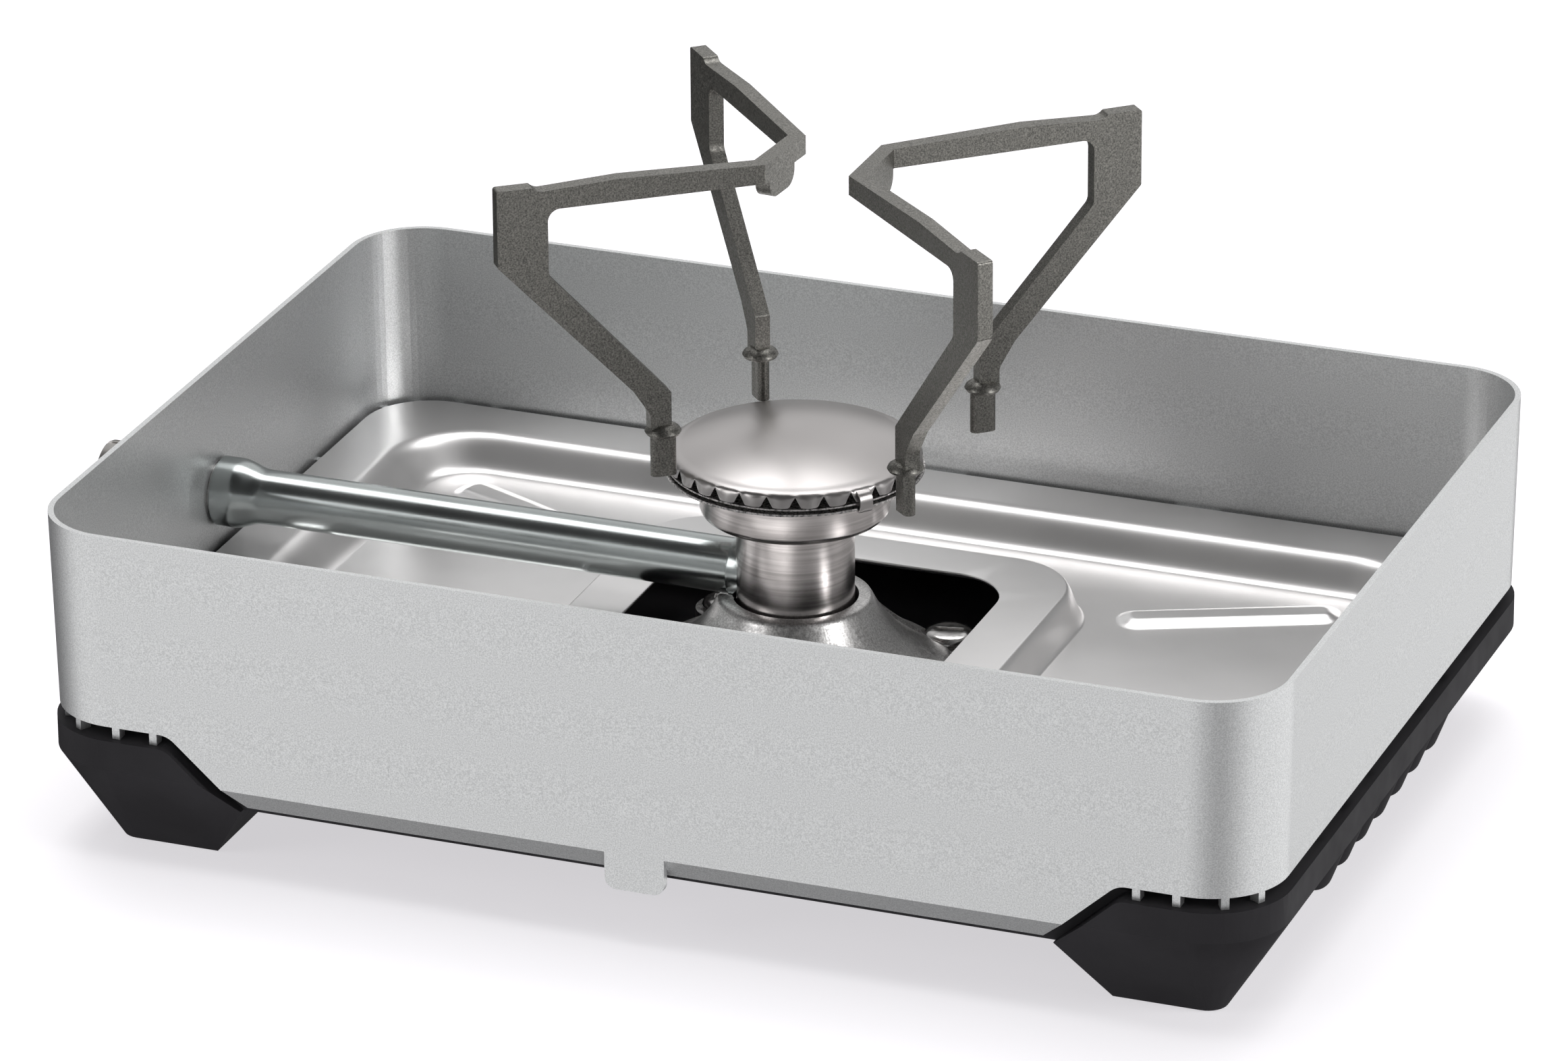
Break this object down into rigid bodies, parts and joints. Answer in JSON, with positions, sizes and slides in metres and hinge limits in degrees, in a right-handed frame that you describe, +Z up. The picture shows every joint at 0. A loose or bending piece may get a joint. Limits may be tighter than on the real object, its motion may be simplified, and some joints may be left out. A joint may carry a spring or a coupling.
{
  "type": "table-top gas burner",
  "caption": "Rectangular table-top gas burner with its top cover off: open sheet casing on a plastic base, drip tray, central burner with mixing tube, side valve knob and two pan supports.",
  "frame": {"origin": "on the surface the stove stands on, under the middle of the overall length, which runs from the end of the control knob to the casing's right side", "axes": "+X away from the control knob along the length, +Y towards the back, +Z up"},
  "size_m": [0.3496, 0.221, 0.1681],
  "materials": {
    "casing_paint": "satin silver paint with a fine metallic speckle",
    "base_plastic": "satin black moulded plastic",
    "sole_rubber": "matt",
    "zinc_steel": "zinc plated",
    "tray_steel": "satin stainless sheet",
    "cast_alloy": "fine cast, satin",
    "dark_steel": "darkened by heat",
    "turned_steel": "turned, fine rings round the axis",
    "cap_steel": "satin, slightly warm",
    "plated_tube": "bright zinc plating",
    "brass": "machined",
    "copper": "soft washer",
    "seal_rubber": "smooth",
    "knob_metal": "satin turned metal",
    "support_steel": "dark phosphated, granular"
  },
  "bodies": {
    "stove": {"casing": "casing_paint", "base": "base_plastic", "foot_pads": "sole_rubber", "case_screws": "zinc_steel", "drip_tray": "tray_steel", "burner_socket": "cast_alloy", "socket_screws": "zinc_steel", "socket_washers": "dark_steel", "burner_stem": "turned_steel", "stem_nut": "zinc_steel", "stem_washer": "zinc_steel", "burner_cup": "turned_steel", "lower_plate": "dark_steel", "spacer_ring": "dark_steel", "upper_plate": "dark_steel", "burner_cap": "cap_steel", "mixing_tube": "plated_tube", "tube_ferrule": "plated_tube", "air_collar": "turned_steel", "gas_jet": "brass", "jet_washer": "copper", "valve_body": "brass", "valve_seal": "seal_rubber", "gland_nut": "brass", "gas_inlet": "brass", "inlet_nut": "brass", "inlet_filter": "brass"},
    "knob": {"valve_spindle": "zinc_steel", "control_knob": "knob_metal", "knob_set_screw": "dark_steel"},
    "left_support": {"pan_support_left": "support_steel"},
    "right_support": {"pan_support_right": "support_steel"}
  },
  "joints": [
    {"name": "valve_turn", "type": "hinge", "parent": "stove", "child": "knob", "pos_m": [-0.17, 0, 0.054], "axis": [-1, 0, 0], "range_deg": [0, 270]},
    {"name": "lift_left_support", "type": "slide", "parent": "stove", "child": "left_support", "axis": [0, 0, 1], "range_m": [0, 0.07]},
    {"name": "lift_right_support", "type": "slide", "parent": "stove", "child": "right_support", "axis": [0, 0, 1], "range_m": [0, 0.07]}
  ]
}
